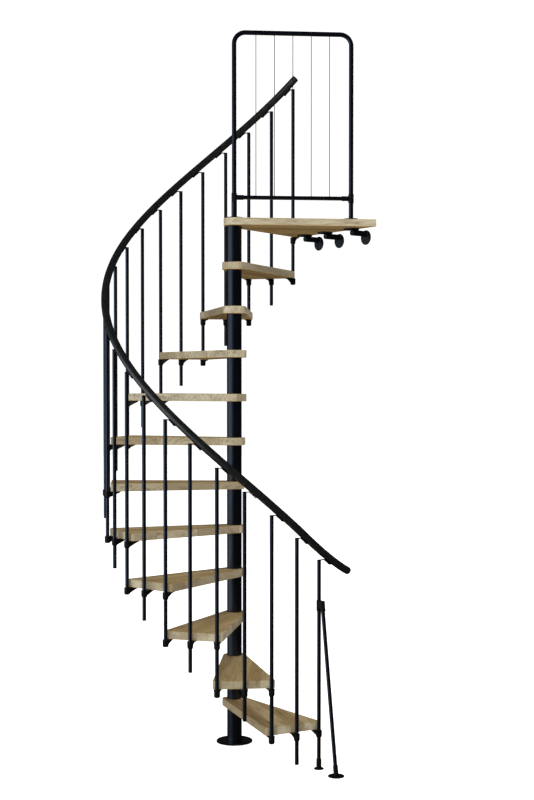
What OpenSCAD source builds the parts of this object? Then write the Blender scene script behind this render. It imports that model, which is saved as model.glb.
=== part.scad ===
// Kit-built spiral staircase: wooden treads threaded on a steel column, plumb balusters on plastic-coated
// brackets round the outside, a bent plastic handrail above them, and a landing with its own guard.
// Z is up. The origin is on the column's axis, where the base plate meets the floor.
// Going up, the stair turns clockwise as seen from above. Baluster k = 0 stands at the first nosing,
// odd k stand at the middle of a tread, and even k stand where two treads lap.

/* [Stair] */
// Height from one walking surface to the next
riser = 235; // [190:1:290]
// Turn from one tread to the next, in degrees
tread_turn = 22.5; // [20:0.5:26]
// Direction of the first tread's middle line, in degrees from +X
first_tread_deg = -62; // [-180:1:180]
// Thickness of the treads and of the landing
wood_t = 40; // [30:1:50]

/* [Treads] */
// Distance from the column's axis to a tread's straight outer edge
tread_reach = 660; // [500:5:800]
// How far a tread's outer corner laps past the line to the shared baluster
tread_lap = 26; // [20:1:40]
// Half the width of a tread across its hub
tread_hub_half = 55; // [50:1:70]
// How far the hub runs on behind the column's axis
tread_hub_back = 51; // [48:1:75]
// Radius of the two outer corners
tread_corner_r = 18; // [5:1:30]
// Radius of the two hub corners
tread_hub_corner_r = 28; // [10:1:40]

/* [Column] */
// Outer diameter of the spacer tubes between the treads
column_d = 80; // [70:1:100]
// Wall of the spacer tubes
spacer_wall = 2.5; // [1.5:0.5:4]
// Outer diameter of the pole that the treads are threaded on
pole_d = 60; // [40:1:64]
// Wall of the pole
pole_wall = 3; // [2:0.5:5]
// Clearance on the diameter between the pole and what slides over it
pole_clearance = 1; // [0.5:0.5:2]
// Diameter of the base plate
base_d = 194; // [180:1:300]
// Thickness of the base plate
base_t = 8; // [5:1:15]
// Width of the bevel round the base plate's top edge
base_bevel = 2; // [0.5:0.5:4]
// Diameter of the circle of floor anchors
anchor_pcd = 140; // [130:1:160]
// Diameter of each anchor hole
anchor_hole_d = 12; // [8:1:14]

/* [Balusters] */
// Outer diameter of a baluster tube
baluster_d = 20; // [16:1:26]
// Wall of a baluster tube
baluster_wall = 1.5; // [1:0.5:3]
// How far the circle of balusters stands outside the treads' outer edge
baluster_offset = 30; // [26:1:45]
// Height of baluster 0's top above the floor
first_top = 1049; // [900:1:1150]

/* [Brackets] */
// Clearance on the diameter between a tube and the socket or bracket it passes through
tube_clearance = 0.5; // [0.2:0.1:1]
// Wall of a bracket's collar at its thickest
collar_wall = 5; // [4:0.5:10]
// Height of a bracket's collar
collar_h = 34; // [28:1:60]
// Height of the collar's straight upper part
collar_straight_h = 26; // [16:1:40]
// How deep a baluster's foot sits in an end bracket
seat_depth = 32; // [25:1:45]
// Length of a bracket's plate from the baluster's axis
bracket_reach = 70; // [50:1:80]
// Width of a bracket's plate
bracket_w = 36; // [24:1:44]
// Thickness of a bracket's plate
bracket_t = 5; // [3:0.5:6]
// Thickness of the fin under a bracket's plate
fin_t = 7; // [4:0.5:12]

/* [Handrail] */
// Diameter of the handrail
rail_d = 40; // [34:1:50]
// Height of the handrail's centre above a baluster's top
rail_rise = 52; // [44:1:60]
// How far the rail runs on below baluster 0, counted in baluster spacings
rail_lead = 1.7; // [1:0.01:2]
// How far the rail runs on above the last baluster, counted in baluster spacings
rail_tail = 0.1; // [0.08:0.01:0.3]
// Baluster number below which the rail starts to level out
ease_start = 0.6; // [0.1:0.1:1]
// How strongly the rail levels out, in millimetres for one spacing
ease_rate = 14.2; // [0:0.1:20]
// Length of a rail clip's leaf along the rail
leaf_len = 46; // [30:1:60]
// Width of a rail clip's strap
strap_w = 16; // [10:1:20]
// Thickness of a rail clip's strap
strap_t = 4; // [3:0.5:6]
// Height of the cap on a baluster's top
cap_h = 5; // [3:0.5:10]

/* [Start brace] */
// Diameter of the start baluster's floor flange
start_flange_d = 50; // [40:1:80]
// Height of the start baluster's floor socket
start_socket_h = 52; // [30:1:80]
// Height of the clamp's underside above the floor
clamp_z = 797; // [600:1:850]
// Height of the clamp
clamp_h = 54; // [40:1:80]
// Distance between the clamp's two sockets
clamp_reach = 27; // [26:1:40]
// Direction of the clamp's outer socket, in degrees from +X
clamp_deg = -57; // [-90:1:0]
// Distance of the brace's foot from the start baluster
brace_spread = 155; // [100:1:250]
// Direction of the brace's foot from the start baluster, in degrees from +X
brace_deg = -59; // [-90:1:-30]
// Diameter of the brace's floor disc
brace_foot_d = 82; // [60:1:100]

/* [Landing] */
// Radius of the landing's hub round the column
landing_hub_r = 57; // [50:1:75]
// Distance from the column's axis to the landing's corner between guard and wall
landing_reach = 766; // [630:1:920]
// Angle between the landing's two outer corners, in degrees
landing_span = 57.4; // [50:0.1:65]
// Turn of the landing's other outer corner from the last baluster, in degrees
landing_corner_turn = 2.2; // [1.5:0.1:4]
// How far that corner lies inside the circle of balusters
landing_corner_inset = 11; // [8:1:25]
// Turn of the landing's bracket away from the line to the column, in degrees
landing_bracket_turn = 48; // [30:1:60]

/* [Guard] */
// Diameter of the guard's bent tube
guard_d = 25; // [20:1:32]
// Wall of the guard's tubes
guard_wall = 2; // [1.5:0.5:3]
// Height of the guard's top above the landing
guard_h = 1004; // [900:1:1100]
// Distance of the outer post from the landing's outer corner
guard_inset = 134; // [110:1:200]
// Turn of the guard away from the landing's front edge, in degrees
guard_skew = 1.4; // [1.4:0.1:5]
// Radius of the guard's bends, at the tube's middle
guard_bend_r = 60; // [40:1:100]
// Height of the cross rail's middle above the landing
cross_rail_z = 113; // [90:1:150]
// Diameter of the cross rail
cross_rail_d = 22; // [18:1:25]
// Number of wires
wire_count = 5; // [3:1:6]
// Diameter of a wire
wire_d = 4; // [3:0.5:6]
// Distance from a post's middle to the nearest wire
wire_end_gap = 117; // [90:1:130]
// Diameter of the outer post's floor flange
guard_flange_d = 80; // [60:1:82]
// Diameter of the flange on the column's top
column_flange_d = 102; // [80:1:110]

/* [Wall brackets] */
// Distances of the three wall brackets from the guard-side corner, along the wall side
wall_bracket_along = [150, 376, 557]; // [100:1:600]
// Distance from the landing's edge to the wall
wall_gap = 58; // [40:1:100]
// Length of a wall bracket's arm from the wall to the middle of its plate
wall_arm_len = 106; // [90:1:150]
// Diameter of a wall bracket's arm
wall_arm_d = 31; // [20:1:34]
// Diameter of a wall bracket's disc
wall_disc_d = 80; // [60:1:100]
// Diameter of each screw hole in the wall disc
wall_hole_d = 9; // [6:0.5:12]

/* [Hidden] */
TREADS = 11;
LANDING_STEP = TREADS + 1;
LAST = 2 * TREADS;

function two_digits(n) = str(n < 10 ? "0" : "", n);

// Facets of the round shapes, which are true curves in the solid model
$fn = 64;
// Small overlap that lets a cut run past a face
CUT = 1;

STEEL = "#23262c";
FITTING = "#1b1c1f";
RAIL = "#161816";
BEECH = "#b7a57e";
WIRE = "#8a8d90";

half_turn = tread_turn / 2;
circle_r = tread_reach + baluster_offset;
tread_outer_half = tread_reach * tan(half_turn) + tread_lap;
baluster_len = first_top + wood_t + seat_depth;
tube_bore = baluster_d + tube_clearance;
collar_r = tube_bore / 2 + collar_wall;
collar_foot_r = tube_bore / 2 + collar_wall / 2;
landing_z = LANDING_STEP * riser;

// Direction of baluster k, seen from above
function baluster_deg(k) = first_tread_deg - (k - 1) * half_turn;
// Height of baluster k's top
function baluster_top(k) = first_top + k * riser / 2;
// Point at a distance and a direction from the column's axis
function polar(r, deg) = [r * cos(deg), r * sin(deg)];
function baluster_xy(k) = polar(circle_r, baluster_deg(k));

// Height of the handrail's middle at baluster k, and how much it climbs in one spacing
function ease(k) = k < ease_start ? ease_rate * pow(ease_start - k, 2) : 0;
function ease_climb(k) = k < ease_start ? -2 * ease_rate * (ease_start - k) : 0;
function rail_z(k) = baluster_top(k) + rail_rise + ease(k);
function rail_climb(k) = riser / 2 + ease_climb(k);
spacing_arc = circle_r * half_turn * PI / 180;
function rail_slope(k) = atan(rail_climb(k) / spacing_arc);

// Points of an arc that rounds the corner b between a and c
function unit(v) = v / norm(v);
function round_corner(a, b, c, r, steps = 8) =
    let(
        to_a = unit(a - b),
        to_c = unit(c - b),
        half = acos(to_a * to_c) / 2,
        middle = b + unit(to_a + to_c) * r / sin(half),
        start = b + to_a * r / tan(half) - middle,
        finish = b + to_c * r / tan(half) - middle,
        sweep = 180 - 2 * half,
        side = sign(start[0] * finish[1] - start[1] * finish[0])
    )
    [for (i = [0:steps])
        let(turn = side * sweep * i / steps)
        middle + [start[0] * cos(turn) - start[1] * sin(turn), start[0] * sin(turn) + start[1] * cos(turn)]];
function rounded_outline(points, radii) =
    let(n = len(points))
    [for (i = [0:n - 1])
        for (p = round_corner(points[(i + n - 1) % n], points[i], points[(i + 1) % n], radii[i])) p];

// ---- Column ----

module base_plate() {
    color(STEEL)
    difference() {
        rotate_extrude()
            polygon([[0, 0], [base_d / 2, 0], [base_d / 2, base_t - base_bevel],
                [base_d / 2 - base_bevel, base_t], [0, base_t]]);
        for (turn = [45:90:315])
            rotate(turn)
                translate([anchor_pcd / 2, 0, -CUT])
                    cylinder(d = anchor_hole_d, h = base_t + 2 * CUT);
    }
}

module tube(outer_d, wall, length) {
    difference() {
        cylinder(d = outer_d, h = length);
        translate([0, 0, -CUT])
            cylinder(d = outer_d - 2 * wall, h = length + 2 * CUT);
    }
}

module centre_pole() {
    color(STEEL)
        translate([0, 0, base_t])
            tube(pole_d, pole_wall, landing_z - base_t);
}

// Spacer n carries tread n, and the last one carries the landing
module spacer(n) {
    bottom = n == 1 ? base_t : (n - 1) * riser;
    color(STEEL)
        translate([0, 0, bottom])
            tube(column_d, spacer_wall, n * riser - wood_t - bottom);
}

module pole_bore() {
    translate([0, 0, -CUT])
        cylinder(d = pole_d + pole_clearance, h = wood_t + 2 * CUT);
}

// ---- Treads and landing ----

module tread(n) {
    corners = [[-tread_hub_back, -tread_hub_half], [tread_reach, -tread_outer_half],
        [tread_reach, tread_outer_half], [-tread_hub_back, tread_hub_half]];
    radii = [tread_hub_corner_r, tread_corner_r, tread_corner_r, tread_hub_corner_r];
    color(BEECH)
        translate([0, 0, n * riser - wood_t])
            rotate(first_tread_deg - (n - 1) * tread_turn)
                difference() {
                    linear_extrude(wood_t)
                        polygon(rounded_outline(corners, radii));
                    pole_bore();
                }
}

// The landing's far corner stands by the last baluster, and its near corner is where guard and wall meet
far_deg = baluster_deg(LAST) - landing_corner_turn;
near_deg = far_deg - landing_span;
far_corner = polar(circle_r - landing_corner_inset, far_deg);
near_corner = polar(landing_reach, near_deg);
front_edge_deg = near_deg + asin(landing_hub_r / landing_reach);
wall_side = near_corner - far_corner;
wall_out_deg = atan2(wall_side[1], wall_side[0]) + 90;

module landing() {
    front_touch = polar(landing_hub_r, near_deg - acos(landing_hub_r / landing_reach));
    back_touch = polar(landing_hub_r, far_deg + acos(landing_hub_r / norm(far_corner)));
    color(BEECH)
        translate([0, 0, landing_z - wood_t])
            difference() {
                union() {
                    cylinder(r = landing_hub_r, h = wood_t);
                    linear_extrude(wood_t)
                        polygon([[0, 0], front_touch, near_corner, far_corner, back_touch]);
                }
                pole_bore();
            }
}

// ---- Balusters and their brackets ----

module balusters() {
    for (k = [0:LAST]) {
        length = k == 0 ? first_top - brace_plate_t : baluster_len;
        color(STEEL)
            translate(baluster_xy(k))
                translate([0, 0, baluster_top(k) - length])
                    tube(baluster_d, baluster_wall, length);
    }
}

// Plate and fin that run inwards under the wood, with +X towards the column and the wood's underside at Z = 0
module bracket_arm() {
    plate_end = bracket_reach - bracket_w / 2;
    fin_drop = (collar_straight_h + collar_h) / 2;
    fin_tip = 1.4 * bracket_t;
    translate([0, -bracket_w / 2, -bracket_t])
        cube([plate_end, bracket_w, bracket_t]);
    translate([plate_end, 0, -bracket_t])
        cylinder(d = bracket_w, h = bracket_t);
    translate([0, fin_t / 2, 0])
        rotate([90, 0, 0])
            linear_extrude(fin_t)
                polygon([[0, -bracket_t / 2], [0, -fin_drop], [collar_r, -fin_drop],
                    [bracket_reach - 2, -fin_tip], [bracket_reach - 2, -bracket_t / 2]]);
}

// Bracket that a baluster passes through
module through_bracket() {
    color(FITTING)
    difference() {
        union() {
            bracket_arm();
            translate([0, 0, -collar_straight_h])
                cylinder(r = collar_r, h = collar_straight_h);
            translate([0, 0, -collar_h])
                cylinder(r1 = collar_foot_r, r2 = collar_r, h = collar_h - collar_straight_h);
        }
        translate([0, 0, -collar_h - CUT])
            cylinder(d = tube_bore, h = collar_h + 2 * CUT);
    }
}

// Bracket with a closed, bevelled bottom, which a baluster's foot stands in
module end_bracket() {
    bevel = 5;
    floor_t = 4;
    bottom = -seat_depth - floor_t;
    color(FITTING)
    difference() {
        union() {
            bracket_arm();
            translate([0, 0, bottom + bevel])
                cylinder(r = collar_r, h = -bottom - bevel);
            translate([0, 0, bottom])
                cylinder(r1 = collar_r - bevel, r2 = collar_r, h = bevel);
        }
        translate([0, 0, -seat_depth])
            cylinder(d = tube_bore, h = seat_depth + CUT);
    }
}

// Puts a bracket at baluster k under the wood of a step, turned from the line to the column
module at_bracket(k, step, turn = 0) {
    translate(baluster_xy(k))
        translate([0, 0, step * riser - wood_t])
            rotate(baluster_deg(k) + 180 + turn)
                children();
}

module front_brackets() {
    for (n = [1:TREADS])
        at_bracket(2 * n - 2, n) through_bracket();
    at_bracket(LAST, LANDING_STEP, landing_bracket_turn) through_bracket();
}

module middle_brackets() {
    for (n = [1:TREADS])
        at_bracket(2 * n - 1, n) through_bracket();
}

module end_brackets() {
    for (n = [1:TREADS])
        at_bracket(2 * n, n) end_bracket();
}

// ---- Handrail ----

rail_sides = 24;
rings_per_spacing = 3;
// Baluster positions of the two joints in the handrail
rail_joints = [6.5, 14.5];

// One ring of points round the rail at baluster position k
function rail_ring(k) =
    let(
        deg = baluster_deg(k),
        slope = rail_slope(k),
        middle = [circle_r * cos(deg), circle_r * sin(deg), rail_z(k)],
        outward = [cos(deg), sin(deg), 0],
        upward = [-sin(slope) * sin(deg), sin(slope) * cos(deg), cos(slope)]
    )
    [for (i = [0:rail_sides - 1])
        let(turn = 360 * i / rail_sides)
        middle + rail_d / 2 * (cos(turn) * outward + sin(turn) * upward)];

// Solid stretch of the handrail between two baluster positions
module rail_stretch(from_k, to_k) {
    rings = ceil((to_k - from_k) * rings_per_spacing);
    points = [for (j = [0:rings]) for (p = rail_ring(from_k + (to_k - from_k) * j / rings)) p];
    sides = [for (j = [0:rings - 1]) for (i = [0:rail_sides - 1])
        let(next = (i + 1) % rail_sides, low = j * rail_sides, high = low + rail_sides)
        [low + i, high + i, high + next, low + next]];
    bottom = [for (i = [0:rail_sides - 1]) i];
    top = [for (i = [0:rail_sides - 1]) rings * rail_sides + rail_sides - 1 - i];
    color(RAIL)
        polyhedron(points, concat(sides, [bottom, top]), convexity = 6);
}

// Domed cap with its flat side at the origin and its crown towards +Z
module rail_cap() {
    edge_r = rail_d / 12;
    crown_z = 1.7 * edge_r;
    color(RAIL)
        rotate_extrude()
            polygon(concat([[0, 0], [rail_d / 2, 0]],
                [for (turn = [0:15:90])
                    [rail_d / 2 - edge_r + edge_r * cos(turn), edge_r / 2 + edge_r * sin(turn)]],
                [[0, crown_z]]));
}

module rail_end_caps() {
    low_k = -rail_lead;
    high_k = LAST + rail_tail;
    translate(concat(baluster_xy(low_k), rail_z(low_k)))
        rotate([0, 90 + rail_slope(low_k), baluster_deg(low_k) + 90])
            rail_cap();
    translate(concat(baluster_xy(high_k), rail_z(high_k)))
        rotate([0, 90 - rail_slope(high_k), baluster_deg(high_k) - 90])
            rail_cap();
}

// Cap on baluster k with a strap that runs down the stair to meet the rail's underside and follow it
module rail_clip(k) {
    slope = rail_slope(k);
    under = rail_z(k) - baluster_top(k) - rail_d / 2 / cos(slope) - tube_clearance / 2;
    bend_x = (under - cap_h) / tan(slope);
    leaf = leaf_len * [cos(slope), -sin(slope)];
    down = strap_t * [-sin(slope), -cos(slope)];
    inner_x = bend_x - strap_t * tan(slope / 2);
    color(FITTING) {
        cylinder(d = baluster_d + tube_clearance, h = cap_h);
        translate([0, 0, -3 * cap_h])
            cylinder(d = baluster_d - 2 * baluster_wall - tube_clearance, h = 3 * cap_h);
        translate([0, strap_w / 2, 0])
            rotate([90, 0, 0])
                linear_extrude(strap_w)
                    polygon([[0, cap_h], [bend_x, cap_h], [bend_x, cap_h] + leaf,
                        [bend_x, cap_h] + leaf + down, [inner_x, cap_h - strap_t], [0, cap_h - strap_t]]);
    }
}

module rail_clips() {
    for (k = [0:LAST])
        translate(baluster_xy(k))
            translate([0, 0, baluster_top(k)])
                rotate(baluster_deg(k) + 90)
                    rail_clip(k);
}

// ---- Start baluster's floor foot and brace ----

brace_plate_t = 5;
start_xy = baluster_xy(0);
brace_foot_xy = start_xy + polar(brace_spread, brace_deg);
clamp_xy = start_xy + polar(clamp_reach, clamp_deg);
brace_top = concat(clamp_xy, clamp_z + clamp_h);
brace_bottom = concat(brace_foot_xy, brace_plate_t);
brace_line = brace_top - brace_bottom;
brace_tilt = acos(brace_line[2] / norm(brace_line));
brace_turn = atan2(brace_line[1], brace_line[0]);

// Draws its children along the brace's line, with Z = 0 at the brace's foot
module along_brace() {
    translate(brace_bottom)
        rotate([0, brace_tilt, brace_turn])
            children();
}

module start_foot() {
    color(FITTING)
        translate(start_xy)
            difference() {
                union() {
                    cylinder(d = start_flange_d, h = brace_plate_t);
                    cylinder(r = baluster_d / 2 + clamp_wall, h = start_socket_h);
                }
                translate([0, 0, brace_plate_t])
                    cylinder(d = tube_bore, h = start_socket_h);
            }
}

// Length of tube left out under the top of the clamp's outer socket
cap_t = 3;
// How far the socket dips into the floor disc, and how far above it the tube's end stands
brace_seat = 2.5;
clamp_wall = 3;

module brace() {
    color(STEEL)
        along_brace()
            translate([0, 0, brace_seat])
                tube(baluster_d, baluster_wall, norm(brace_line) - brace_seat - cap_t);
}

module brace_foot() {
    socket_h = 48;
    socket_wall = 2.5;
    color(FITTING)
        difference() {
            union() {
                translate(brace_foot_xy)
                    cylinder(d = brace_foot_d, h = brace_plate_t);
                along_brace()
                    translate([0, 0, -brace_seat])
                        rotate(90) // keeps the cylinder's seam off the lowest point of its rim
                            cylinder(r = baluster_d / 2 + socket_wall, h = socket_h + brace_seat);
            }
            along_brace()
                translate([0, 0, brace_seat])
                    cylinder(d = tube_bore, h = socket_h);
        }
}

module brace_clamp() {
    socket_r = tube_bore / 2 + clamp_wall;
    web_w = 1.4 * socket_r;
    web_h = 0.6 * clamp_h;
    color(FITTING)
    difference() {
        union() {
            translate(concat(start_xy, clamp_z))
                cylinder(r = socket_r, h = clamp_h);
            along_brace()
                translate([0, 0, norm(brace_line) - clamp_h])
                    cylinder(r = socket_r, h = clamp_h);
            translate(concat(start_xy, clamp_z + web_h / 2))
                rotate(clamp_deg)
                    translate([0, -web_w / 2, 0])
                        cube([clamp_reach, web_w, web_h]);
        }
        translate(concat(start_xy, clamp_z - CUT))
            cylinder(d = tube_bore, h = clamp_h + 2 * CUT);
        along_brace()
            cylinder(d = tube_bore, h = norm(brace_line) - cap_t);
    }
}

// ---- Guard on the landing ----

guard_w = landing_reach - guard_inset;
guard_deg = front_edge_deg - guard_skew;
guard_plate_t = 5;
guard_socket_d = guard_d + 5;
guard_top = guard_h - guard_d / 2;
guard_bottom = guard_plate_t;
guard_bore = guard_d + tube_clearance;
tee_wall = 2.5;
tee_h = 46;
tee_reach = 50;

// Guard parts are drawn with X along the guard from the column's axis and Z = 0 on the landing
module on_guard() {
    translate([0, 0, landing_z])
        rotate(guard_deg)
            children();
}

// Inverted U of round bar of the given diameter, with its feet cut at the given height
module guard_bow(d, foot_z) {
    post_h = guard_top - guard_bend_r - foot_z;
    for (x = [0, guard_w])
        translate([x, 0, foot_z])
            cylinder(d = d, h = post_h);
    translate([guard_bend_r, 0, guard_top])
        rotate([0, 90, 0])
            cylinder(d = d, h = guard_w - 2 * guard_bend_r);
    translate([guard_bend_r, 0, guard_top - guard_bend_r])
        rotate([90, 0, 0]) rotate(90)
            rotate_extrude(angle = 90)
                translate([guard_bend_r, 0]) circle(d = d);
    translate([guard_w - guard_bend_r, 0, guard_top - guard_bend_r])
        rotate([90, 0, 0])
            rotate_extrude(angle = 90)
                translate([guard_bend_r, 0]) circle(d = d);
}

module guard_frame() {
    color(STEEL)
        on_guard()
            difference() {
                guard_bow(guard_d, guard_bottom);
                guard_bow(guard_d - 2 * guard_wall, guard_bottom - CUT);
            }
}

module guard_cross_rail() {
    start_x = guard_bore / 2 + tee_wall;
    color(STEEL)
        on_guard()
            translate([start_x, 0, cross_rail_z])
                rotate([0, 90, 0])
                    tube(cross_rail_d, guard_wall, guard_w - 2 * start_x);
}

// Tee whose upright sleeve holds a post and whose branch, towards +X, holds the cross rail
module guard_tee() {
    sleeve_r = guard_bore / 2 + tee_wall;
    branch_bore = cross_rail_d + tube_clearance;
    difference() {
        union() {
            translate([0, 0, -tee_h / 2])
                cylinder(r = sleeve_r, h = tee_h);
            rotate([0, 90, 0])
                cylinder(r = branch_bore / 2 + tee_wall, h = tee_reach);
        }
        translate([0, 0, -tee_h / 2 - CUT])
            cylinder(d = guard_bore, h = tee_h + 2 * CUT);
        translate([sleeve_r - tee_wall / 2, 0, 0])
            rotate([0, 90, 0])
                cylinder(d = branch_bore, h = tee_reach);
    }
}

module guard_tees() {
    color(FITTING)
        on_guard()
            for (side = [0, 1])
                translate([side * guard_w, 0, cross_rail_z])
                    rotate(side * 180)
                        guard_tee();
}

module guard_wires() {
    wire_pitch = (guard_w - 2 * wire_end_gap) / (wire_count - 1);
    low = cross_rail_z + cross_rail_d / 2;
    high = guard_top - guard_d / 2;
    color(WIRE)
        on_guard()
            for (i = [0:wire_count - 1])
                translate([wire_end_gap + i * wire_pitch, 0, low])
                    cylinder(d = wire_d, h = high - low);
}

// Flanges that the posts stand on; the one on the column also has a tall socket
module guard_flanges() {
    socket_top = cross_rail_z - tee_h / 2;
    color(FITTING)
        on_guard() {
            difference() {
                union() {
                    cylinder(d = column_flange_d, h = guard_plate_t);
                    cylinder(d = guard_socket_d, h = socket_top);
                }
                translate([0, 0, guard_bottom])
                    cylinder(d = guard_bore, h = socket_top);
            }
            translate([guard_w, 0, 0])
                cylinder(d = guard_flange_d, h = guard_plate_t);
        }
}

// ---- Wall brackets under the landing ----

wall_plate_t = 8;
wall_disc_t = 5;
wall_disc_drop = 20;
wall_arm_z = wall_plate_t + wall_arm_d / 2 - CUT;

// One bracket, with +X towards the wall, the wall's face at X = 0 and the landing's underside at Z = 0
module wall_bracket() {
    hole_r = wall_disc_d / 2 - wall_hole_d;
    difference() {
        union() {
            translate([-wall_arm_len, 0, -wall_plate_t])
                cylinder(d = wall_disc_d + 4, h = wall_plate_t);
            translate([-wall_arm_len, 0, -wall_arm_z])
                rotate([0, 90, 0])
                    cylinder(d = wall_arm_d, h = wall_arm_len - wall_disc_t);
            translate([-wall_disc_t, 0, -wall_arm_z - wall_disc_drop])
                rotate([0, 90, 0])
                    cylinder(d = wall_disc_d, h = wall_disc_t);
        }
        for (side = [-1, 1])
            translate([-wall_disc_t - CUT, side * hole_r, -wall_arm_z - wall_disc_drop])
                rotate([0, 90, 0])
                    cylinder(d = wall_hole_d, h = wall_disc_t + 2 * CUT);
    }
}

module wall_brackets() {
    color(STEEL)
        translate(concat(near_corner, landing_z - wood_t))
            rotate(wall_out_deg)
                for (along = wall_bracket_along)
                    translate([wall_gap, along, 0])
                        wall_bracket();
}

base_plate();
centre_pole();
for (n = [1:LANDING_STEP])
    spacer(n);
for (n = [1:TREADS])
    tread(n);
landing();
balusters();
front_brackets();
middle_brackets();
end_brackets();
rail_clips();
rail_stretch(-rail_lead, rail_joints[0]);  // handrail_lower
rail_stretch(rail_joints[0], rail_joints[1]);  // handrail_middle
rail_stretch(rail_joints[1], LAST + rail_tail);  // handrail_upper
rail_end_caps();
start_foot();
brace();
brace_foot();
brace_clamp();
guard_frame();
guard_cross_rail();
guard_tees();
guard_wires();
guard_flanges();
wall_brackets();
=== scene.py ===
import math

import bpy
from mathutils import Matrix, Vector


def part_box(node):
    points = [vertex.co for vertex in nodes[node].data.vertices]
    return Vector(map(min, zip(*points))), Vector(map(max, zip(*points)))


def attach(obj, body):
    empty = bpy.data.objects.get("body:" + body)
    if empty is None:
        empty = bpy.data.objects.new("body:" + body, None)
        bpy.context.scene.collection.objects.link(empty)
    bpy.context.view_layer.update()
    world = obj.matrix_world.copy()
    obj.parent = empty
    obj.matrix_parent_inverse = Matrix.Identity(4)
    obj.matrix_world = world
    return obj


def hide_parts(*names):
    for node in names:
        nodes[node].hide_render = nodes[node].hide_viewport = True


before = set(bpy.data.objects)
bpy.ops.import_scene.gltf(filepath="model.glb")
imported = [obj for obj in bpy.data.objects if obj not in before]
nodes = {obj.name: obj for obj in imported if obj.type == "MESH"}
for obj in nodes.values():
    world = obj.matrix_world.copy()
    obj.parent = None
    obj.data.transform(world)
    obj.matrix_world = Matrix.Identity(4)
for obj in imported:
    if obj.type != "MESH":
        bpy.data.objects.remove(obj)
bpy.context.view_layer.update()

# ---- Base plate and its floor anchors ----
# The column stands on a round steel plate, turned with a small bevel round its top edge and powder-coated
# in a glossy near-black. Four anchors hold it to the floor, each with a low round head and a shallow round
# socket.


class Signal:
    """An output socket that adds, subtracts, multiplies and raises to a power by adding Math nodes."""

    def __init__(self, finish, socket):
        self.finish = finish
        self.socket = socket

    def math(self, operation, first, second=0.0):
        return self.finish.node("ShaderNodeMath", {"operation": operation}, {0: first, 1: second})

    def __add__(self, other):
        return self.math("ADD", self, other)

    def __radd__(self, other):
        return self.math("ADD", other, self)

    def __sub__(self, other):
        return self.math("SUBTRACT", self, other)

    def __rsub__(self, other):
        return self.math("SUBTRACT", other, self)

    def __mul__(self, other):
        return self.math("MULTIPLY", self, other)

    def __rmul__(self, other):
        return self.math("MULTIPLY", other, self)

    def __pow__(self, other):
        return self.math("POWER", self, other)


class Finish:
    """A material whose Principled shader is fed by the nodes that node() adds."""

    def __init__(self, name, **constants):
        self.material = bpy.data.materials.new(name)
        self.material.use_nodes = True
        self.tree = self.material.node_tree
        self.shader = self.tree.nodes["Principled BSDF"]
        for socket, value in constants.items():
            self.shader.inputs[socket.replace("_", " ")].default_value = value

    def node(self, kind, settings=None, sockets=None, out=0):
        """Adds a node, sets it up, fills its input sockets, and returns one of its outputs."""
        new = self.tree.nodes.new(kind)
        for key, value in (settings or {}).items():
            if key == "stops":
                ramp = new.color_ramp.elements
                while len(ramp) < len(value):
                    ramp.new(0.5)
                for stop, (place, tone) in zip(ramp, value):
                    stop.position = place
                    stop.color = (*tone, 1.0) if isinstance(tone, tuple) else (tone, tone, tone, 1.0)
            else:
                setattr(new, key, value)
        for key, value in (sockets or {}).items():
            self.feed(new.inputs[key], value)
        return Signal(self, new.outputs[out])

    def feed(self, socket, value):
        if isinstance(value, Signal):
            self.tree.links.new(value.socket, socket)
        elif isinstance(value, tuple) and len(value) == 3 and socket.type == "RGBA":
            socket.default_value = (*value, 1.0)
        else:
            socket.default_value = value

    def set(self, **inputs):
        for name, value in inputs.items():
            self.feed(self.shader.inputs[name.replace("_", " ")], value)

    def place(self):
        return self.node("ShaderNodeTexCoord", out="Object")

    def noise(self, vector, scale, detail=2.0, roughness=0.5):
        return self.node("ShaderNodeTexNoise", None,
                         {"Vector": vector, "Scale": scale, "Detail": detail, "Roughness": roughness})

    def spread(self, signal, low, high, to_low=0.0, to_high=1.0):
        """Maps low..high to to_low..to_high, and holds it there beyond."""
        return self.node("ShaderNodeMapRange", {"clamp": True},
                         {"Value": signal, "From Min": low, "From Max": high,
                          "To Min": to_low, "To Max": to_high})

    def blend(self, share, first, second, blend_type="MIX"):
        return self.node("ShaderNodeMix", {"data_type": "RGBA", "blend_type": blend_type},
                         {0: share, 6: first, 7: second}, out=2)

    def relief(self, height, depth, strength=1.0):
        bump = self.node("ShaderNodeBump", None, {"Height": height, "Distance": depth, "Strength": strength})
        self.set(Normal=bump)


def powder_coat(name, colour, worn_colour, roughness, depth, gloss=0.5, tint=(1.0, 1.0, 1.0)):
    """Baked powder paint: a fine orange-peel skin, with the faintest change of shade and sheen."""
    paint = Finish(name, IOR=1.5, Specular_IOR_Level=gloss, Specular_Tint=(*tint, 1.0),
                   Coat_Weight=0.15, Coat_Roughness=0.2)
    at = paint.place()
    cloud = paint.noise(at, 7.0, 3.0)
    peel = paint.noise(at, 420.0, 2.0)
    paint.set(Base_Color=paint.blend(paint.spread(cloud, 0.35, 0.65), colour, worn_colour),
              Roughness=paint.spread(cloud + 0.25 * peel, 0.45, 0.8, roughness - 0.03, roughness + 0.05))
    paint.relief(peel, depth)
    return paint.material


base_gloss = powder_coat("base_gloss", (0.0010, 0.0011, 0.0018), (0.0018, 0.0018, 0.0028), 0.14, 0.000006)


def deselect():
    bpy.ops.object.select_all(action="DESELECT")


def edit(piece):
    """Opens the piece for editing, with all of it selected."""
    deselect()
    piece.select_set(True)
    bpy.context.view_layer.objects.active = piece
    bpy.ops.object.mode_set(mode="EDIT")
    bpy.ops.mesh.select_all(action="SELECT")


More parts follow.
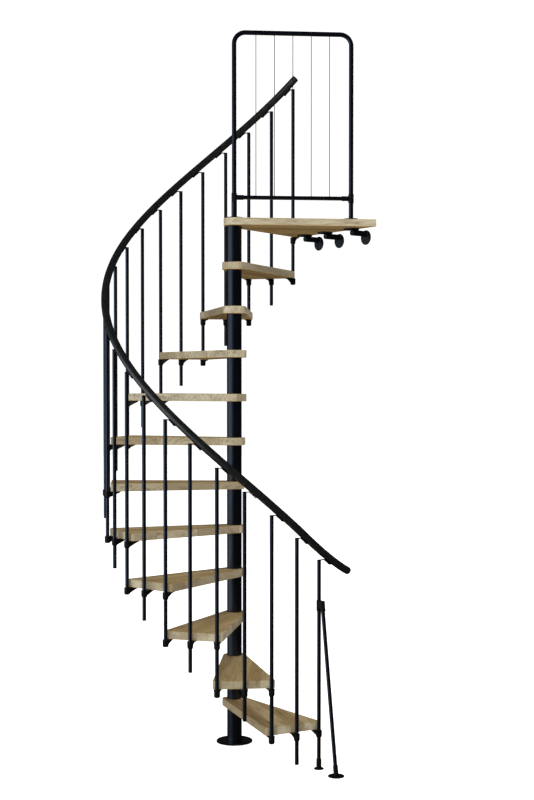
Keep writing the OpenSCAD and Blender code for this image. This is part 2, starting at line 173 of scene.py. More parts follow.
def turned(profile, steps):
    """A shape turned on Z from a closed outline of (radius, height) pairs, which may run along the axis."""
    deselect()
    bpy.ops.mesh.primitive_circle_add(vertices=len(profile), radius=1.0)
    piece = bpy.context.object
    for corner, (radius, height) in zip(piece.data.vertices, profile):
        corner.co = (radius, 0.0, height)
    edit(piece)
    bpy.ops.mesh.spin(steps=steps, angle=math.tau, center=(0, 0, 0), axis=(0, 0, 1))
    bpy.ops.mesh.select_all(action="SELECT")
    bpy.ops.mesh.remove_doubles(threshold=0.00001)
    bpy.ops.mesh.delete_loose(use_verts=True, use_edges=True, use_faces=False)
    bpy.ops.mesh.select_all(action="SELECT")
    bpy.ops.mesh.normals_make_consistent(inside=False)
    bpy.ops.object.mode_set(mode="OBJECT")
    return piece


def soften(piece, width, segments=2, angle=40.0):
    """Rounds the piece's edges that are sharper than the angle."""
    deselect()
    piece.select_set(True)
    bpy.context.view_layer.objects.active = piece
    bevel = piece.modifiers.new("soften", "BEVEL")
    bevel.width = width
    bevel.segments = segments
    bevel.limit_method = "ANGLE"
    bevel.angle_limit = math.radians(angle)
    bevel.use_clamp_overlap = True
    bpy.ops.object.modifier_apply(modifier=bevel.name)


def copies(model, places):
    """One piece made of a copy of the model at each place, and the model itself is used up."""
    deselect()
    for place in places:
        copy = model.copy()
        copy.data = model.data.copy()
        copy.data.transform(place)
        bpy.context.collection.objects.link(copy)
        copy.select_set(True)
    bpy.context.view_layer.objects.active = copy
    if len(places) > 1:
        bpy.ops.object.join()
    bpy.data.objects.remove(model)
    return bpy.context.view_layer.objects.active


def joined(*parts):
    deselect()
    for part in parts:
        part.select_set(True)
    bpy.context.view_layer.objects.active = parts[0]
    bpy.ops.object.join()
    return parts[0]


def finished(piece, name, material, stands_for=(), smooth=38.0):
    """Names and shades a piece, gives it its material, and puts it on the frame."""
    deselect()
    piece.select_set(True)
    bpy.context.view_layer.objects.active = piece
    bpy.ops.object.shade_smooth_by_angle(angle=math.radians(smooth))
    even = piece.modifiers.new("even_shading", "WEIGHTED_NORMAL")
    even.keep_sharp = True
    bpy.ops.object.modifier_apply(modifier=even.name)
    piece.name = piece.data.name = name
    piece.data.materials.clear()
    piece.data.materials.append(material)
    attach(piece, "root")
    if stands_for:
        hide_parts(*stands_for)
    return piece


def coat_node(node, material):
    """Gives a CAD node its finish."""
    nodes[node].data.materials.clear()
    nodes[node].data.materials.append(material)


def move(x=0.0, y=0.0, z=0.0):
    return Matrix.Translation((x, y, z))


def turn(degrees, axis="Z"):
    return Matrix.Rotation(math.radians(degrees), 4, axis)


coat_node("base_plate", base_gloss)
BASE_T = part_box("base_plate")[1][2]
ANCHOR_R = 0.07
anchor = turned([(0.0, 0.0012), (0.0022, 0.0012), (0.0026, 0.0022), (0.0082, 0.0020), (0.0094, 0.0009),
                 (0.0094, -0.0002), (0.0, -0.0002)], 36)
anchors = copies(anchor, [turn(45 + 90 * i) @ move(x=ANCHOR_R, z=BASE_T) for i in range(4)])
finished(anchors, "floor_anchors", base_gloss)

# ---- Column ----
# Twelve lengths of round steel tube, powder-coated in a dark blue-black satin. Each is clamped between two
# boards, and the pole that they are all threaded on shows only inside.
BLUE_SHEEN = (0.62, 0.76, 1.0)
SATIN_BLUE = (0.0007, 0.0010, 0.0028)
SATIN_WORN = (0.0012, 0.0016, 0.0040)
SATIN_ROUGHNESS = 0.36
PEEL_DEPTH = 0.000004
column_paint = powder_coat("column_paint", SATIN_BLUE, SATIN_WORN, SATIN_ROUGHNESS, PEEL_DEPTH,
                           gloss=0.85, tint=BLUE_SHEEN)
COLUMN_R = 0.04
TUBE_WALL = 0.0025
RIM = 0.0008
for number in range(1, 13):
    node = f"spacer_{number:02d}"
    foot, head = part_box(node)[0][2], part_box(node)[1][2]
    bore = COLUMN_R - TUBE_WALL
    spacer = turned([(bore, foot), (COLUMN_R - RIM, foot), (COLUMN_R, foot + RIM), (COLUMN_R, head - RIM),
                     (COLUMN_R - RIM, head), (bore, head)], 72)
    finished(spacer, f"column_tube_{number:02d}", column_paint, [node])
coat_node("centre_pole", column_paint)

# ---- Treads ----
# Beech staves glued side by side and cut to a wedge. The staves run along its rear edge, so their ends show
# as paler and darker blocks at the outer end and the front edge. The edges are rounded over and lacquered.
RISE = 0.235
BOARD_T = 0.04
TREAD_TURN = 22.5
FIRST_TREAD = -62.0
REAR_EDGE = 8.2
TONE_STEP = 1.37


def beech_board(name):
    """Laminated beech, read from the piece's own "board" attribute: X across the staves and Y along them."""
    wood = Finish(name, Coat_Roughness=0.32, IOR=1.48, Coat_Weight=0.10)
    board = wood.node("ShaderNodeAttribute", {"attribute_name": "board"}, out="Vector")
    across = wood.node("ShaderNodeSeparateXYZ", None, {0: board}, out="X")
    length = wood.node("ShaderNodeSeparateXYZ", None, {0: board}, out="Y")
    height = wood.node("ShaderNodeSeparateXYZ", None, {0: board}, out="Z")
    staves_per_metre = 13.0
    stave = {"voronoi_dimensions": "1D", "feature": "F1"}
    sockets = {"W": across, "Scale": staves_per_metre, "Randomness": 0.75}
    colour = wood.node("ShaderNodeTexVoronoi", stave, sockets, out="Color")
    heart = wood.node("ShaderNodeTexVoronoi", stave, sockets, out="W")
    edge = wood.node("ShaderNodeTexVoronoi", {**stave, "feature": "DISTANCE_TO_EDGE"}, sockets)
    tone = wood.node("ShaderNodeSeparateXYZ", None, {0: colour}, out="X")
    shift = wood.node("ShaderNodeSeparateXYZ", None, {0: colour}, out="Y")
    tilt = wood.node("ShaderNodeSeparateXYZ", None, {0: colour}, out="Z")

    def grain_at(x_scale, y_scale, z_scale):
        return wood.node("ShaderNodeCombineXYZ", None,
                         {0: across * x_scale, 1: (length + shift * 5.0) * y_scale, 2: height * z_scale})

    # Growth rings round a heart that lies above or below each stave, bent by slow waves along the grain
    wave = wood.noise(grain_at(11.0, 3.2, 11.0), 1.0, 3.0)
    off_centre = across - heart + (tilt - 0.5) * 0.05
    depth = height + 0.012 + tone * 0.05
    radius = (off_centre * off_centre + depth * depth) ** 0.5
    ring = radius * 110.0 + wave * 5.0 + shift * 9.0
    line = wood.node("ShaderNodeMath", {"operation": "SINE"}, {0: ring * math.tau})
    line = (line * 0.5 + 0.5) ** 2.2
    band = wood.noise(grain_at(26.0, 3.0, 26.0), 1.0, 2.0)
    streak = wood.spread(wood.noise(grain_at(34.0, 5.5, 34.0), 1.0, 2.0), 0.60, 0.72)
    fibre = wood.noise(grain_at(520.0, 16.0, 520.0), 1.0, 3.0, 0.6)
    fleck = wood.spread(wood.noise(grain_at(950.0, 210.0, 950.0), 1.0, 1.0), 0.64, 0.74)

    pale = (0.500, 0.440, 0.300)
    warm = (0.330, 0.262, 0.150)
    dark = (0.150, 0.100, 0.048)
    ground = wood.blend(wood.spread(tone, 0.15, 0.85), pale, warm)
    ground = wood.blend(wood.spread(band, 0.44, 0.68) * 0.65, ground, warm)
    ground = wood.blend(line * wood.spread(band, 0.3, 0.7, 0.12, 0.50), ground, dark)
    ground = wood.blend(streak * 0.55, ground, dark)
    ground = wood.blend(wood.spread(fibre, 0.45, 0.75) * 0.22, ground, dark)
    ground = wood.blend(fleck * 0.30, ground, dark)
    glue = wood.spread(edge, 0.004, 0.014, 0.55, 0.0)
    ground = wood.blend(glue, ground, (0.17, 0.115, 0.06))
    # Painted shade: the broad faces, top and underside, are tinted darker and warmer than the rounded edges,
    # and the underside darker still, as if the light fell more on the edges than on the faces
    from_middle = wood.node("ShaderNodeMath", {"operation": "ABSOLUTE"}, {0: height + BOARD_T / 2})
    broad_face_shade = wood.spread(from_middle, 0.0165, 0.0195)
    under = wood.spread(height, -0.0385, -0.0365, 1.0, 0.0)
    ground = wood.blend(broad_face_shade, ground, (1.0, 0.88, 0.66), "MULTIPLY")
    ground = wood.blend(under, ground, (1.0, 0.84, 0.55), "MULTIPLY")
    wood.set(Base_Color=ground, Roughness=wood.spread(fibre, 0.3, 0.7, 0.40, 0.52))
    wood.relief(line * 0.3 + fibre * 0.5 - glue, 0.00008, 0.5)
    return wood.material


beech = beech_board("laminated_beech")


def board_from(node, name, heading, top, offset):
    """The CAD board with its edges rounded over. Its staves lie square to the heading, in degrees from +X,
    and the offset gives each board staves of its own."""
    piece = bpy.data.objects.new(name, nodes[node].data.copy())
    bpy.context.collection.objects.link(piece)
    edit(piece)
    bpy.ops.mesh.remove_doubles(threshold=0.00001)
    bpy.ops.mesh.customdata_custom_splitnormals_clear()
    bpy.ops.mesh.dissolve_limited(angle_limit=math.radians(1.5))
    bpy.ops.object.mode_set(mode="OBJECT")
    soften(piece, 0.0026, 3)
    lay = turn(-heading)
    rows = piece.data.attributes.new("board", "FLOAT_VECTOR", "POINT")
    for corner in piece.data.vertices:
        spot = lay @ corner.co
        rows.data[corner.index].vector = (spot.x + offset, spot.y + 1.7 * offset, spot.z - top)
    return finished(piece, name, beech, [node])


for number in range(1, 12):
    node = f"tread_{number:02d}"
    heading = FIRST_TREAD - (number - 1) * TREAD_TURN
    board_from(node, f"tread_board_{number:02d}", heading - REAR_EDGE + 90, number * RISE, TONE_STEP * number)

# ---- Landing ----
# A five-sided board of the same beech, bored for the column at its inner corner. Its staves run along the
# front edge, under the guard.
FRONT_EDGE = 6.42
board_from("landing", "landing_board", FRONT_EDGE + 90, 12 * RISE, 21.3)

# ---- Balusters ----
# Plumb steel tubes in the column's paint. Those at the middle of a tread hang on below it, and each of their
# ends is closed with a plastic plug.
CIRCLE_R = 0.69
LAST = 22


def baluster_deg(k):
    return FIRST_TREAD - (k - 1) * TREAD_TURN / 2


def baluster_top(k):
    return 1.049 + k * RISE / 2


def at_baluster(k, z, turned_by=0.0):
    """Place with Z = 0 at the given height, and +X out from the column."""
    out = math.radians(baluster_deg(k))
    return move(CIRCLE_R * math.cos(out), CIRCLE_R * math.sin(out), z) @ turn(baluster_deg(k) + turned_by)


baluster_paint = powder_coat("baluster_paint", SATIN_BLUE, SATIN_WORN, SATIN_ROUGHNESS, PEEL_DEPTH,
                             gloss=1.0, tint=BLUE_SHEEN)
coat_node("balusters", baluster_paint)


def moulded_black(name, colour, pale_colour, roughness, grain):
    """Black moulded plastic with a fine spark-eroded grain."""
    plastic = Finish(name, IOR=1.47, Specular_IOR_Level=0.35)
    at = plastic.place()
    cloud = plastic.noise(at, 18.0, 3.0)
    skin = plastic.noise(at, grain, 3.0, 0.6)
    plastic.set(Base_Color=plastic.blend(plastic.spread(cloud, 0.3, 0.7), colour, pale_colour),
                Roughness=plastic.spread(cloud * 0.5 + skin * 0.5, 0.35, 0.65,
                                         roughness - 0.06, roughness + 0.08))
    plastic.relief(skin, 0.00002)
    return plastic.material


fitting_black = moulded_black("fitting_black", (0.0020, 0.0024, 0.0034), (0.0036, 0.0042, 0.0056),
                              0.46, 800.0)
BALUSTER_LEN = 1.121
plug = turned([(0.0, -0.0035), (0.0075, -0.0035), (0.0095, -0.0022), (0.01, -0.0002), (0.01, 0.0),
               (0.0, 0.0)], 28)
plugs = copies(plug, [at_baluster(k, baluster_top(k) - BALUSTER_LEN) for k in range(1, LAST, 2)])
finished(plugs, "baluster_plugs", fitting_black)

# ---- Brackets ----
# Black moulded brackets carry the boards on the balusters: a collar, a plate screwed under the wood, and a
# slanting fin. A baluster passes through the front and middle ones and stands in the end ones.
COLLAR_R = 0.01525
COLLAR_BORE = 0.01025
COLLAR_FOOT_R = 0.01275
COLLAR_H = 0.034
STRAIGHT_H = 0.026
PLATE_T = 0.005
PLATE_HALF = 0.018
PLATE_END = 0.052
FIN_END = 0.068
FIN_T = 0.007
FIN_H = 0.030
SCREW_X = 0.044
SCREW_Y = 0.011


def cut_out(outline, thickness):
    """A flat outline of (x, z) corners given an even thickness about Y = 0."""
    deselect()
    bpy.ops.mesh.primitive_circle_add(vertices=len(outline), radius=1.0, fill_type="NGON")
    piece = bpy.context.object
    for corner, (x, z) in zip(piece.data.vertices, outline):
        corner.co = (x, -thickness / 2, z)
    edit(piece)
    bpy.ops.mesh.extrude_region_move(TRANSFORM_OT_translate={"value": (0, thickness, 0)})
    bpy.ops.mesh.select_all(action="SELECT")
    bpy.ops.mesh.normals_make_consistent(inside=False)
    bpy.ops.object.mode_set(mode="OBJECT")
    return piece


def arc(centre, radius, start, finish, steps):
    return [(centre[0] + radius * math.cos(math.radians(start + (finish - start) * i / steps)),
             centre[1] + radius * math.sin(math.radians(start + (finish - start) * i / steps)))
            for i in range(steps + 1)]


def bracket_arm():
    """Plate, fin and screws, with +X towards the column and the wood's underside at Z = 0."""
    nose = arc((PLATE_END, 0.0), PLATE_HALF, -90, 90, 12)
    plate = cut_out([(0.0, -PLATE_HALF)] + nose + [(0.0, PLATE_HALF)], PLATE_T)
    plate.data.transform(move(z=-PLATE_T / 2) @ turn(90, "X"))
    soften(plate, 0.0007)
    fin = cut_out([(0.0, -0.003), (0.0, -FIN_H), (COLLAR_R, -FIN_H), (0.030, -0.0233), (0.050, -0.0140),
                   (FIN_END, -0.007), (FIN_END, -0.003)], FIN_T)
    soften(fin, 0.0007)
    screws = []
    for side in (-1, 1):
        screw = turned([(0.0, -0.0024), (0.0009, -0.0024), (0.0012, -0.0016), (0.0028, -0.0013),
                        (0.0035, 0.0), (0.0, 0.0)], 16)
        screw.data.transform(move(SCREW_X, side * SCREW_Y, -PLATE_T + 0.0002))
        screws.append(screw)
    return joined(plate, fin, *screws)


collar = turned([(COLLAR_BORE, -COLLAR_H), (COLLAR_FOOT_R - 0.0006, -COLLAR_H),
                 (COLLAR_FOOT_R, -COLLAR_H + 0.0006), (COLLAR_R - 0.0003, -STRAIGHT_H - 0.0008),
                 (COLLAR_R, -STRAIGHT_H + 0.0002), (COLLAR_R, -0.0008), (COLLAR_R - 0.0008, 0.0),
                 (COLLAR_BORE, 0.0)], 36)
through_bracket = joined(collar, bracket_arm())
cup = turned([(0.0, -0.036), (0.0100, -0.036), (0.0108, -0.0356), (0.0149, -0.0315), (COLLAR_R, -0.0303),
              (COLLAR_R, -0.0008), (COLLAR_R - 0.0008, 0.0), (COLLAR_BORE, 0.0), (COLLAR_BORE, -0.032),
              (0.0, -0.032)], 36)
end_bracket = joined(cup, bracket_arm())


def under_board(k, step, turned_by=0.0):
    return at_baluster(k, step * RISE - BOARD_T, 180 + turned_by)


spare = through_bracket.copy()
spare.data = through_bracket.data.copy()
LANDING_BRACKET_TURN = 48.0
front_places = [under_board(2 * n - 2, n) for n in range(1, 12)]
front_places.append(under_board(LAST, 12, LANDING_BRACKET_TURN))
finished(copies(through_bracket, front_places), "front_brackets_moulded", fitting_black,
         ["front_brackets"])
finished(copies(spare, [under_board(2 * n - 1, n) for n in range(1, 12)]), "middle_brackets_moulded",
         fitting_black, ["middle_brackets"])
finished(copies(end_bracket, [under_board(2 * n, n) for n in range(1, 12)]), "end_brackets_moulded",
         fitting_black, ["end_brackets"])

# ---- Handrail ----
# One black plastic profile, bent to the stair on site and left dull, with a faint mottle from the bending.
# Both ends are closed with shallow domed plugs.
RAIL_R = 0.02
RAIL_RISE = 0.052
EASE_START = 0.6
EASE_RATE = 0.0142
RAIL_FROM = -1.7
RAIL_TO = 22.1


def rail_point(k):
    out = math.radians(baluster_deg(k))
    ease = EASE_RATE * max(0.0, EASE_START - k) ** 2
    return Vector((CIRCLE_R * math.cos(out), CIRCLE_R * math.sin(out), baluster_top(k) + RAIL_RISE + ease))


def swept(points, radius, sides):
    """A round bar along the points, closed at both ends."""
    deselect()
    bpy.ops.curve.primitive_nurbs_path_add()
    route = bpy.context.object
    route.data.splines.clear()
    spline = route.data.splines.new("POLY")
    spline.points.add(len(points) - 1)
    for knot, spot in zip(spline.points, points):
        knot.co = (*spot, 1.0)
    route.data.bevel_depth = radius
    route.data.bevel_resolution = sides // 2 - 2
    route.data.use_fill_caps = True
    route.data.twist_mode = "MINIMUM"
    bpy.ops.object.convert(target="MESH")
    edit(bpy.context.object)
    bpy.ops.mesh.remove_doubles(threshold=0.00001)
    bpy.ops.mesh.normals_make_consistent(inside=False)
    bpy.ops.object.mode_set(mode="OBJECT")
    return bpy.context.object


def bent_plastic(name):
    """Dull black handrail plastic: a slow mottle of sheen, fine scuffs, and a soft skin."""
    plastic = Finish(name, IOR=1.5, Specular_IOR_Level=1.0, Coat_Weight=0.35, Coat_Roughness=0.3)
    at = plastic.place()
    mottle = plastic.noise(at, 38.0, 4.0, 0.6)
    skin = plastic.noise(at, 600.0, 2.0)
    plastic.set(Base_Color=plastic.blend(plastic.spread(mottle, 0.35, 0.65), (0.0038, 0.0042, 0.0045),
                                         (0.0074, 0.0082, 0.0086)),
                Roughness=plastic.spread(mottle, 0.3, 0.7, 0.36, 0.52))
    plastic.relief(mottle * 0.9 + skin * 0.1, 0.0002, 0.5)
    return plastic.material


rail_black = bent_plastic("rail_black")
RAIL_STEPS = 240
rail_points = [rail_point(RAIL_FROM + (RAIL_TO - RAIL_FROM) * i / RAIL_STEPS) for i in range(RAIL_STEPS + 1)]
finished(swept(rail_points, RAIL_R, 28), "handrail_bent", rail_black,
         ["handrail_lower", "handrail_middle", "handrail_upper"])

EDGE_R = 0.00333
cap_edge = arc((RAIL_R - EDGE_R, 0.0017), EDGE_R, 0, 90, 6)
cap = turned([(0.0, -0.002), (RAIL_R - 0.0004, -0.002)] + cap_edge + [(0.006, 0.0055), (0.0, 0.0056)], 36)
cap_places = []
for end, neighbour in ((0, 1), (-1, -2)):
    facing = (rail_points[end] - rail_points[neighbour]).to_track_quat("Z", "Y").to_matrix().to_4x4()
    cap_places.append(Matrix.Translation(rail_points[end]) @ facing)
finished(copies(cap, cap_places), "handrail_end_plugs", rail_black, ["rail_end_caps"])

# ---- Rail clips ----
# Each baluster ends in a black plug with a flat strap, which runs level to the handrail's underside and then
# follows it as a leaf with a thicker tip. Two screws go up through the leaf into the rail.
CAP_H = 0.005
STRAP_T = 0.004
STRAP_W = 0.016
LEAF_LEN = 0.046
LEAF_SCREWS = (0.012, 0.026)
SPACING = CIRCLE_R * math.radians(TREAD_TURN / 2)


def rail_clip(k):
    """Clip for baluster k, with +X down the stair and Z = 0 at the baluster's top."""
    climb = RISE / 2 - 2 * EASE_RATE * max(0.0, EASE_START - k)
    slope = math.atan2(climb, SPACING)
    down = math.degrees(-slope)
    under = rail_point(k).z - baluster_top(k) - RAIL_R / math.cos(slope) - 0.00025
    bend = (under - CAP_H) / math.tan(slope)
    inner = bend - STRAP_T * math.tan(slope / 2)
    step = move(x=bend, z=CAP_H) @ turn(-down, "Y")

    def leaf(x, z):
        spot = step @ Vector((x, 0, z))
        return spot.x, spot.z

    strap = cut_out([(0.0, CAP_H), (bend, CAP_H), leaf(LEAF_LEN, 0.0), leaf(LEAF_LEN, -STRAP_T - 0.0012),
                     leaf(LEAF_LEN - 0.010, -STRAP_T - 0.0012), leaf(LEAF_LEN - 0.0125, -STRAP_T),
                     (inner, CAP_H - STRAP_T), (0.0, CAP_H - STRAP_T)], STRAP_W)
    soften(strap, 0.0006)
    top = turned([(0.0, -0.001), (0.01025, -0.001), (0.01025, CAP_H - 0.0009), (0.0094, CAP_H),
                  (0.0, CAP_H)], 32)
    screws = []
    for along in LEAF_SCREWS:
        screw = turned([(0.0, -0.0020), (0.0009, -0.0020), (0.0012, -0.0012), (0.0026, -0.0010),
                        (0.0032, 0.0004), (0.0, 0.0004)], 14)
        screw.data.transform(step @ move(x=along, z=-STRAP_T))
        screws.append(screw)
    return joined(strap, top, *screws)


clips = [copies(rail_clip(k), [at_baluster(k, baluster_top(k), 90)]) for k in range(LAST + 1)]
finished(joined(*clips), "rail_clips_moulded", fitting_black, ["rail_clips"])

# ---- Start baluster's foot and brace ----
# The first baluster stands on the floor in a small flanged socket. A second tube leans against it in a
# moulded twin clamp, which is nipped up with set screws, and stands on a flat disc.
START_R = 0.025
START_H = 0.052
BRACE_DISC_R = 0.041
DISC_T = 0.005
CLAMP_H = 0.054
CLAMP_R = 0.01325
CLAMP_DEG = -57
CLAMP_PITCH = 0.027
BRACE_TOP = 0.851
SET_SCREW_DROP = 0.026
coat_node("brace", baluster_paint)
start_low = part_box("start_foot")[0]
start_x, start_y = start_low[0] + START_R, start_low[1] + START_R
foot = turned([(0.0, 0.0), (START_R - 0.0003, 0.0), (START_R, 0.0004), (START_R, 0.0026), (0.0238, 0.0044),
               (0.0165, 0.0052), (0.0138, 0.0072), (0.0131, 0.0105), (0.013, 0.0508), (0.0122, START_H),
               (COLLAR_BORE, START_H), (COLLAR_BORE, DISC_T), (0.0, DISC_T)], 40)
finished(copies(foot, [move(start_x, start_y)]), "start_foot_moulded", fitting_black,
         ["start_foot"])

brace_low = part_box("brace_foot")[0]
foot_x, foot_y = brace_low[0] + BRACE_DISC_R, brace_low[1] + BRACE_DISC_R
clamp_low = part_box("brace_clamp")[0][2]
clamp_x = start_x + CLAMP_PITCH * math.cos(math.radians(CLAMP_DEG))
clamp_y = start_y + CLAMP_PITCH * math.sin(math.radians(CLAMP_DEG))
brace_from = Vector((foot_x, foot_y, DISC_T))
brace_line = Vector((clamp_x, clamp_y, BRACE_TOP)) - brace_from
lean = Matrix.Translation(brace_from) @ brace_line.to_track_quat("Z", "Y").to_matrix().to_4x4()
disc = turned([(0.0, 0.0), (0.0405, 0.0), (BRACE_DISC_R, 0.0006), (BRACE_DISC_R, 0.003), (0.0397, 0.0045),
               (0.036, DISC_T), (0.0, DISC_T)], 56)
disc.data.transform(move(foot_x, foot_y))
sleeve = turned([(0.0, -0.0022), (0.0124, -0.0022), (0.0125, 0.047), (0.0119, 0.048), (COLLAR_BORE, 0.048),
                 (COLLAR_BORE, 0.0025), (0.0, 0.0025)], 36)
sleeve.data.transform(lean)
finished(joined(disc, sleeve), "brace_foot_moulded", fitting_black, ["brace_foot"])
coat_node("brace_clamp", fitting_black)
screw_head = turned([(0.0, -0.003), (0.0033, -0.003), (0.0036, 0.0006), (0.0033, 0.001), (0.0018, 0.001),
                     (0.0018, -0.0002), (0.0, -0.0002)], 18)
on_socket = turn(90, "Y") @ move(z=CLAMP_R)
inner_out = move(start_x, start_y, clamp_low + CLAMP_H / 2) @ turn(CLAMP_DEG + 180) @ on_socket
lean_side = lean.to_3x3() @ Vector((1, 0, 0))
outer_deg = CLAMP_DEG - math.degrees(math.atan2(lean_side.y, lean_side.x))
outer_out = lean @ move(z=brace_line.length - SET_SCREW_DROP) @ turn(outer_deg) @ on_socket
finished(copies(screw_head, [inner_out, outer_out]), "clamp_set_screws", fitting_black)

# ---- Guard on the landing ----
# A bow of bent steel tube stands on two flanges, with a cross rail held in moulded tees. Five steel wires are
# stretched between the cross rail and the bow's top.
GUARD_DEG = 5.0175
GUARD_W = 0.632
LANDING_Z = 12 * RISE
on_guard = move(z=LANDING_Z) @ turn(GUARD_DEG)
GUARD_R = 0.0125
GUARD_TOP = 0.9915
BEND_R = 0.06


def bow_bend(x, start, finish):
    return [(px, 0.0, pz) for px, pz in arc((x, GUARD_TOP - BEND_R), BEND_R, start, finish, 14)]


bow_route = [(0.0, 0.0, 0.0052), (0.0, 0.0, 0.5)] + bow_bend(BEND_R, 180, 90) + [(0.3, 0.0, GUARD_TOP)] + \
    bow_bend(GUARD_W - BEND_R, 90, 0) + [(GUARD_W, 0.0, 0.5), (GUARD_W, 0.0, 0.0052)]
bow = swept(bow_route, GUARD_R, 32)
bow.data.transform(on_guard)
finished(bow, "guard_bow", baluster_paint, ["guard_frame"])
coat_node("guard_cross_rail", baluster_paint)

CROSS_Z = 0.113
sleeve = turned([(0.0127, -0.023), (0.0148, -0.023), (0.01525, -0.0225), (0.01525, -0.0190),
                 (0.0149, -0.0185), (0.0149, 0.0185), (0.01525, 0.0190), (0.01525, 0.0225), (0.0148, 0.023),
                 (0.0127, 0.023)], 36)
branch = turned([(0.0112, 0.0128), (0.0134, 0.0128), (0.0134, 0.0440), (0.01375, 0.0444),
                 (0.01375, 0.0494), (0.0132, 0.05), (0.0112, 0.05)], 36)
branch.data.transform(turn(90, "Y"))
grub = turned([(0.0, -0.002), (0.0026, -0.002), (0.0026, 0.0003), (0.0014, 0.0003), (0.0014, -0.0008),
               (0.0, -0.0008)], 14)
grub.data.transform(turn(-90, "X") @ move(z=0.0150))
tee = joined(sleeve, branch, grub)
finished(copies(tee, [on_guard @ move(z=CROSS_Z), on_guard @ move(x=GUARD_W, z=CROSS_Z) @ turn(180)]),
         "guard_tees_moulded", fitting_black, ["guard_tees"])


def drawn_wire(name):
    """Stainless wire rope: grey strands laid round each other, with bands of painted highlight and painted
    shade winding up it.
    """
    wire = Finish(name, Metallic=0.4)
    at = wire.place()
    up = wire.node("ShaderNodeSeparateXYZ", None, {0: at}, out="Z")
    side = wire.node("ShaderNodeSeparateXYZ", None, {0: at}, out="X")
    lay = wire.node("ShaderNodeMath", {"operation": "SINE"}, {0: up * 1900.0 + side * 900.0})
    lay = lay * 0.5 + 0.5
    grime = wire.noise(at, 60.0, 2.0)
    # Painted highlight on the strands' crowns and painted shade in the grooves between them, banded along the
    # lay
    wire.set(Base_Color=wire.blend(lay, (0.006, 0.0065, 0.007), (0.020, 0.021, 0.023)),
             Roughness=wire.spread(grime, 0.3, 0.7, 0.30, 0.45))
    wire.relief(lay, 0.00008)
    return wire.material


coat_node("guard_wires", drawn_wire("wire_rope"))

tall_flange = turned([(0.0, 0.0), (0.0505, 0.0), (0.051, 0.0006), (0.051, 0.0036), (0.0496, DISC_T),
                      (0.0185, DISC_T), (0.0158, 0.0066), (0.015, 0.0095), (0.015, 0.089), (0.0142, 0.09),
                      (0.0127, 0.09), (0.0127, 0.0052), (0.0, 0.0052)], 56)
tall_flange.data.transform(on_guard)
low_flange = turned([(0.0, 0.0), (0.0395, 0.0), (0.04, 0.0006), (0.04, 0.0036), (0.0387, DISC_T),
                     (0.0, DISC_T)], 56)
low_flange.data.transform(on_guard @ move(x=GUARD_W))
countersunk = turned([(0.0, -0.0004), (0.0011, -0.0004), (0.0016, 0.0009), (0.0042, 0.0012), (0.0047, 0.0004),
                      (0.0047, -0.001), (0.0, -0.001)], 20)
spare_screw = countersunk.copy()
spare_screw.data = countersunk.data.copy()
TALL_SCREW_R = 0.036
LOW_SCREW_R = 0.028
screw_places = [on_guard @ move(x=leg) @ turn(60 + 120 * i) @ move(x=out, z=DISC_T)
                for leg, out in ((0.0, TALL_SCREW_R), (GUARD_W, LOW_SCREW_R)) for i in range(3)]
flange_screws = copies(countersunk, screw_places)
finished(joined(tall_flange, low_flange, flange_screws), "guard_flanges_turned",
         baluster_paint, ["guard_flanges"])

# ---- Wall brackets ----
# Three arms of steel tube under the landing. Each is welded to a round plate that is screwed to the wood, and
# to a round disc that is screwed to the edge of the upper floor.
WALL_OUT = 37.1257
CORNER = (0.76546, 0.028737)
ARM_R = 0.0155
ARM_Z = -0.0225
DISC_DROP = 0.02
PAD_X = -0.106
PAD_T = 0.008
PAD_SCREW_R = 0.032
DISC_SCREW_Y = 0.031
WALL_GAP = 0.058
ARM_PLACES = (0.150, 0.376, 0.557)
plate = turned([(0.0, -PAD_T), (0.0412, -PAD_T), (0.042, -0.0072), (0.042, -0.0006), (0.0415, 0.0),
                (0.0, 0.0)], 56)
plate.data.transform(move(x=PAD_X))
arm = turned([(0.0, 0.0), (ARM_R - 0.0008, 0.0), (ARM_R, 0.0008), (ARM_R, 0.102), (0.0, 0.102)], 40)
arm.data.transform(move(x=PAD_X, z=ARM_Z) @ turn(90, "Y"))
weld = turned([(ARM_R - 0.001, 0.0), (ARM_R + 0.0028, 0.0), (ARM_R + 0.0011, 0.0012),
               (ARM_R - 0.001, 0.0030)], 40)
weld.data.transform(move(x=-DISC_T, z=ARM_Z) @ turn(-90, "Y"))
disc = turned([(0.0, 0.0), (0.0392, 0.0), (0.04, 0.0008), (0.04, 0.0045), (0.0395, DISC_T),
               (0.0, DISC_T)], 64)
disc.data.transform(move(x=-DISC_T, z=ARM_Z - DISC_DROP) @ turn(90, "Y"))
disc_screws = [move(x=-DISC_T, y=side * DISC_SCREW_Y, z=ARM_Z - DISC_DROP) @ turn(-90, "Y")
               for side in (-1, 1)]
pad_screws = [move(x=PAD_X, z=-PAD_T) @ turn(45 + 90 * i) @ move(x=PAD_SCREW_R) @ turn(180, "X")
              for i in range(4)]
wall_screws = copies(spare_screw, disc_screws + pad_screws)
wall_bracket = joined(plate, arm, weld, disc, wall_screws)
wall_frame = move(*CORNER, LANDING_Z - BOARD_T) @ turn(WALL_OUT)
finished(copies(wall_bracket, [wall_frame @ move(x=WALL_GAP, y=along) for along in ARM_PLACES]),
         "wall_brackets_welded", column_paint, ["wall_brackets"])

# ---- Studio ----
# A pale floor, a white surround, and soft lights: a broad one on the left, one in front, one overhead and one
# behind.
deselect()
bpy.ops.mesh.primitive_plane_add(size=60.0, location=(0, 0, -0.0005))
floor = bpy.context.object
floor.name = "studio_floor"
pale = Finish("studio_pale", Roughness=0.9, Specular_IOR_Level=0.0, Emission_Strength=0.66)
pale.set(Base_Color=(0.90, 0.90, 0.90), Emission_Color=(1.0, 1.0, 1.0))
floor.data.materials.append(pale.material)
floor.visible_diffuse = False
floor.visible_glossy = False


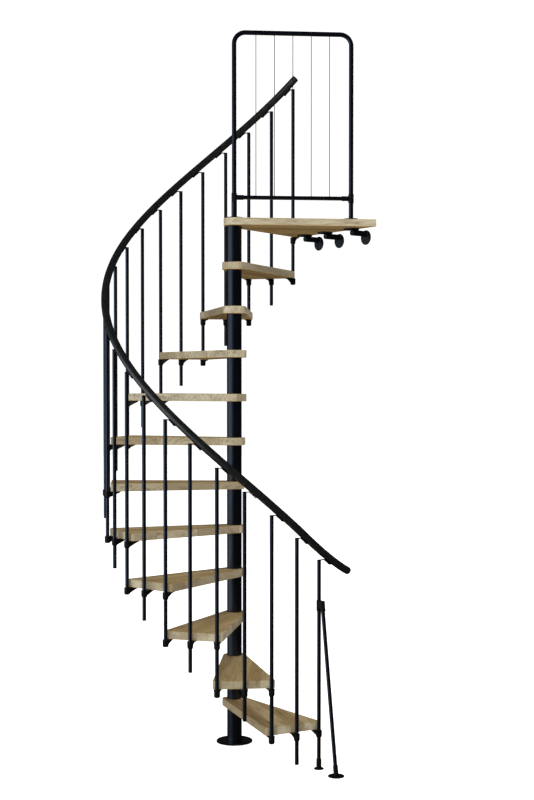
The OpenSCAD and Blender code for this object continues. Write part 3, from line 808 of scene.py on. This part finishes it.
def area_light(name, spot, aim, width, height, power, colour=(1.0, 1.0, 1.0), mirrored=False):
    lamp = bpy.data.lights.new(name, "AREA")
    lamp.shape = "RECTANGLE"
    lamp.size, lamp.size_y, lamp.energy = width, height, power
    light = bpy.data.objects.new(name, lamp)
    bpy.context.collection.objects.link(light)
    light.location = spot
    light.rotation_euler = (Vector(aim) - Vector(spot)).to_track_quat("-Z", "Y").to_euler()
    light.visible_glossy = mirrored
    lamp.color = colour


area_light("key_left", (-6.0, -2.5, 2.0), (0, 0, 1.9), 9.0, 5.4, 190, (0.84, 0.92, 1.0), True)
area_light("front_fill", (-2.4, -9.6, 2.4), (0, 0, 1.9), 4.0, 4.0, 300)
area_light("overhead", (0.6, -1.6, 7.0), (0, 0, 0), 4.0, 4.0, 150)
area_light("back_fill", (4.5, 8.0, 2.2), (0, 0, 1.9), 4.0, 4.0, 260)

# The surround is white to look at and lights the boards softly, but is dim in the paint's reflections
world = bpy.data.worlds.new("studio_surround")
world.use_nodes = True
bpy.context.scene.world = world
surround = world.node_tree
path = surround.nodes.new("ShaderNodeLightPath")
level = surround.nodes["Background"].inputs["Strength"]
surround.nodes["Background"].inputs["Color"].default_value = (1.0, 1.0, 1.0, 1.0)
total = None
for ray, strength in (("Is Camera Ray", 1.1), ("Is Diffuse Ray", 0.74), ("Is Glossy Ray", 0.02)):
    part = surround.nodes.new("ShaderNodeMath")
    part.operation = "MULTIPLY_ADD"
    part.inputs[1].default_value = strength
    part.inputs[2].default_value = 0.0
    surround.links.new(path.outputs[ray], part.inputs[0])
    if total:
        surround.links.new(total.outputs[0], part.inputs[2])
    total = part
surround.links.new(total.outputs[0], level)

view = bpy.data.cameras.new("studio_camera")
view.lens = 61.5
view.sensor_width = 36.0
view.shift_y = 0.025
view.clip_end = 100.0
camera = bpy.data.objects.new("studio_camera", view)
bpy.context.collection.objects.link(camera)
camera.location = (0.176, -7.353, 1.929)
LOOK_DOWN = 1.478
camera.rotation_euler = (math.radians(90 - LOOK_DOWN), 0.0, 0.0)
bpy.context.scene.camera = camera
bpy.context.scene.view_settings.view_transform = "Standard"
